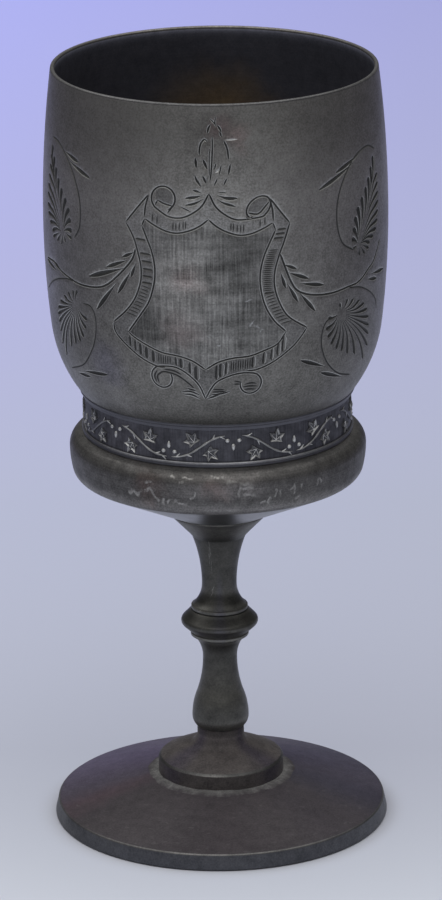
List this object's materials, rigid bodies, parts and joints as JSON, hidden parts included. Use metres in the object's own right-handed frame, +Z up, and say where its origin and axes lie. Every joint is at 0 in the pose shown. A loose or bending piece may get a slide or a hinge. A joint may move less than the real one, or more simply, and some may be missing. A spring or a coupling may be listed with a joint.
{
  "type": "footed water goblet",
  "caption": "Plated-metal water goblet: engraved barrel bowl over an ornamental waist band and bulged base, turned baluster stem with a knop, domed boss and a wide hollow foot.",
  "frame": {"origin": "centre of the foot's standing plane", "axes": "+Z up along the axis of the goblet, -Y towards the engraved shield"},
  "size_m": [0.0718, 0.0718, 0.165],
  "materials": {
    "bowl_plate": "tarnished silver plate, finely brushed, with engraved lines",
    "cup_plate": "tarnished silver plate, scratched and worn",
    "band_plate": "oxidised silver plate with bright relief",
    "stem_plate": "dark tarnished plate",
    "boss_plate": "brown tarnished plate",
    "solder": "rough grey solder",
    "foot_plate_finish": "brown and purple tarnish over plate"
  },
  "bodies": {
    "root": {"bowl_barrel": "bowl_plate", "bowl_cup": "cup_plate", "vine_band": "band_plate", "stem_collar": "stem_plate", "stem_upper": "stem_plate", "stem_knop": "stem_plate", "stem_lower": "stem_plate", "stem_boss": "boss_plate", "foot_solder": "solder", "foot_plate": "foot_plate_finish"}
  },
  "joints": []
}
